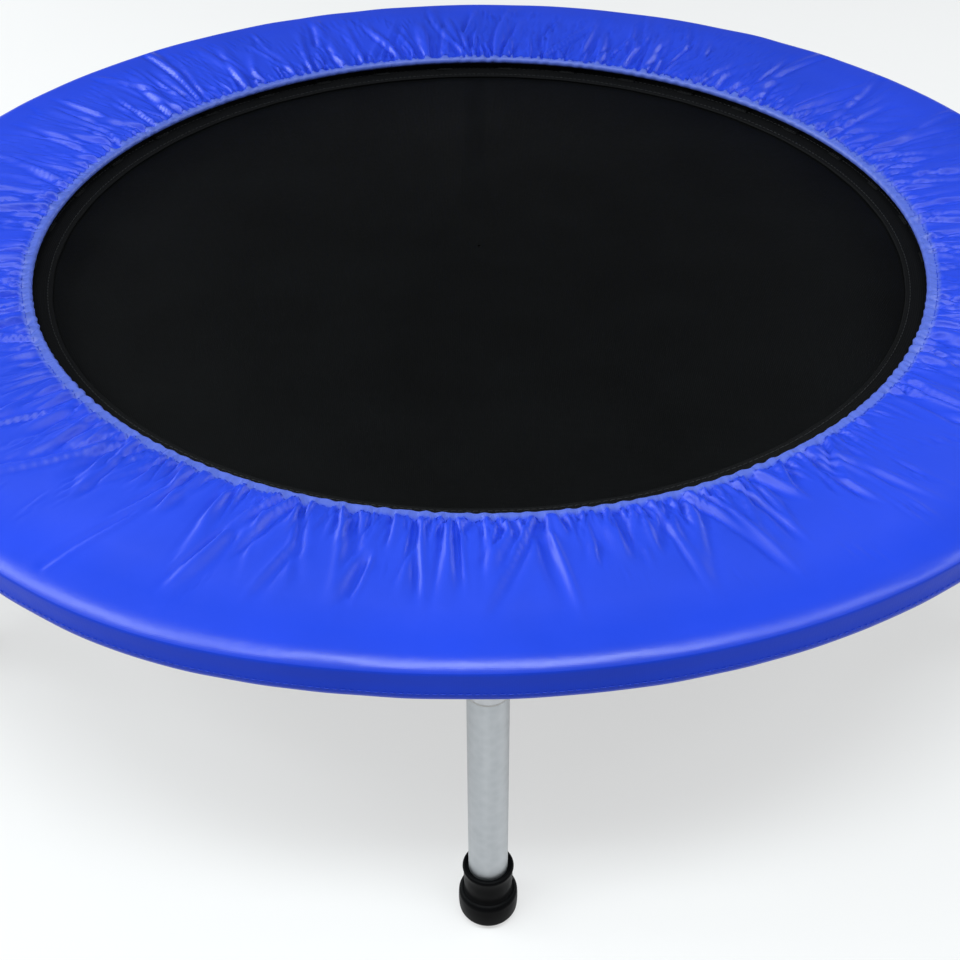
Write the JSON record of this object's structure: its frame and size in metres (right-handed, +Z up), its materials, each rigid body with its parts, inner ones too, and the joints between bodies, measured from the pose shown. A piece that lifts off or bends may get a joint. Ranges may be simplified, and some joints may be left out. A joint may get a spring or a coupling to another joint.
{
  "type": "mini trampoline",
  "caption": "Round mini trampoline: a sprung mat in a tube ring on short screw-in legs with rubber feet, with a gathered fabric pad over the springs.",
  "frame": {"origin": "on the floor, under the middle of the mat", "axes": "+Z up, square to the mat; leg 1 stands at -Y, the front, and the ring's joints are at +X and -X"},
  "size_m": [0.9649, 0.9722, 0.2286],
  "materials": {
    "frame_steel": "zinc plated tube",
    "leg_steel": "galvanised tube, satin",
    "fastener_steel": "bright zinc",
    "spring_steel": "zinc plated wire",
    "foot_rubber": "moulded, matt",
    "washer_nylon": "moulded",
    "mat_mesh": "woven polypropylene mesh, slightly see-through",
    "mat_webbing": "woven webbing",
    "cover_fabric": "coated woven polyester, gathered",
    "lining_fabric": "woven sheet",
    "foam": "closed-cell foam",
    "elastic": "braided"
  },
  "bodies": {
    "frame": {"frame_arc_front": "frame_steel", "frame_arc_rear": "frame_steel", "splice_sleeves": "frame_steel", "splice_rivets": "fastener_steel", "leg_sockets": "frame_steel", "springs": "spring_steel", "pad_cover": "cover_fabric", "pad_underside": "lining_fabric", "pad_foam": "foam", "inner_elastic": "elastic", "skirt_elastic": "elastic"},
    "mat": {"jump_mat": "mat_mesh", "mat_hem": "mat_webbing", "ring_tabs": "mat_webbing", "v_rings": "spring_steel"},
    "leg_1_washer": {"leg_washer_1": "washer_nylon"},
    "leg_1": {"leg_tube_1": "leg_steel", "leg_plug_1": "fastener_steel", "leg_bolt_1": "fastener_steel", "foot_1": "foot_rubber"},
    "leg_2_washer": {"leg_washer_2": "washer_nylon"},
    "leg_2": {"leg_tube_2": "leg_steel", "leg_plug_2": "fastener_steel", "leg_bolt_2": "fastener_steel", "foot_2": "foot_rubber"},
    "leg_3_washer": {"leg_washer_3": "washer_nylon"},
    "leg_3": {"leg_tube_3": "leg_steel", "leg_plug_3": "fastener_steel", "leg_bolt_3": "fastener_steel", "foot_3": "foot_rubber"},
    "leg_4_washer": {"leg_washer_4": "washer_nylon"},
    "leg_4": {"leg_tube_4": "leg_steel", "leg_plug_4": "fastener_steel", "leg_bolt_4": "fastener_steel", "foot_4": "foot_rubber"},
    "leg_5_washer": {"leg_washer_5": "washer_nylon"},
    "leg_5": {"leg_tube_5": "leg_steel", "leg_plug_5": "fastener_steel", "leg_bolt_5": "fastener_steel", "foot_5": "foot_rubber"},
    "leg_6_washer": {"leg_washer_6": "washer_nylon"},
    "leg_6": {"leg_tube_6": "leg_steel", "leg_plug_6": "fastener_steel", "leg_bolt_6": "fastener_steel", "foot_6": "foot_rubber"}
  },
  "joints": [
    {"name": "mat_bounce", "type": "slide", "parent": "frame", "child": "mat", "axis": [0, 0, 1], "range_m": [-0.06, 0], "stiffness_N_per_m": 12000, "springref_m": 0.002, "deforming": ["springs"]},
    {"name": "leg_1_out", "type": "slide", "parent": "frame", "child": "leg_1_washer", "axis": [0, 0, -1], "range_m": [0, 0.015]},
    {"name": "leg_1_turn", "type": "hinge", "parent": "leg_1_washer", "child": "leg_1", "pos_m": [0, -0.46775, 0.2], "axis": [0, 0, -1], "range_deg": [0, 3601]},
    {"name": "leg_2_out", "type": "slide", "parent": "frame", "child": "leg_2_washer", "axis": [0, 0, -1], "range_m": [0, 0.015]},
    {"name": "leg_2_turn", "type": "hinge", "parent": "leg_2_washer", "child": "leg_2", "pos_m": [0.40508, -0.23387, 0.2], "axis": [0, 0, -1], "range_deg": [0, 3601]},
    {"name": "leg_3_out", "type": "slide", "parent": "frame", "child": "leg_3_washer", "axis": [0, 0, -1], "range_m": [0, 0.015]},
    {"name": "leg_3_turn", "type": "hinge", "parent": "leg_3_washer", "child": "leg_3", "pos_m": [0.40508, 0.23387, 0.2], "axis": [0, 0, -1], "range_deg": [0, 3601]},
    {"name": "leg_4_out", "type": "slide", "parent": "frame", "child": "leg_4_washer", "axis": [0, 0, -1], "range_m": [0, 0.015]},
    {"name": "leg_4_turn", "type": "hinge", "parent": "leg_4_washer", "child": "leg_4", "pos_m": [0, 0.46775, 0.2], "axis": [0, 0, -1], "range_deg": [0, 3601]},
    {"name": "leg_5_out", "type": "slide", "parent": "frame", "child": "leg_5_washer", "axis": [0, 0, -1], "range_m": [0, 0.015]},
    {"name": "leg_5_turn", "type": "hinge", "parent": "leg_5_washer", "child": "leg_5", "pos_m": [-0.40508, 0.23387, 0.2], "axis": [0, 0, -1], "range_deg": [0, 3601]},
    {"name": "leg_6_out", "type": "slide", "parent": "frame", "child": "leg_6_washer", "axis": [0, 0, -1], "range_m": [0, 0.015]},
    {"name": "leg_6_turn", "type": "hinge", "parent": "leg_6_washer", "child": "leg_6", "pos_m": [-0.40508, -0.23387, 0.2], "axis": [0, 0, -1], "range_deg": [0, 3601]}
  ],
  "couplings": [
    {"joint": "leg_1_turn", "follows": "leg_1_out", "rad_per_m": 4188.8},
    {"joint": "leg_2_turn", "follows": "leg_2_out", "rad_per_m": 4188.8},
    {"joint": "leg_3_turn", "follows": "leg_3_out", "rad_per_m": 4188.8},
    {"joint": "leg_4_turn", "follows": "leg_4_out", "rad_per_m": 4188.8},
    {"joint": "leg_5_turn", "follows": "leg_5_out", "rad_per_m": 4188.8},
    {"joint": "leg_6_turn", "follows": "leg_6_out", "rad_per_m": 4188.8}
  ]
}
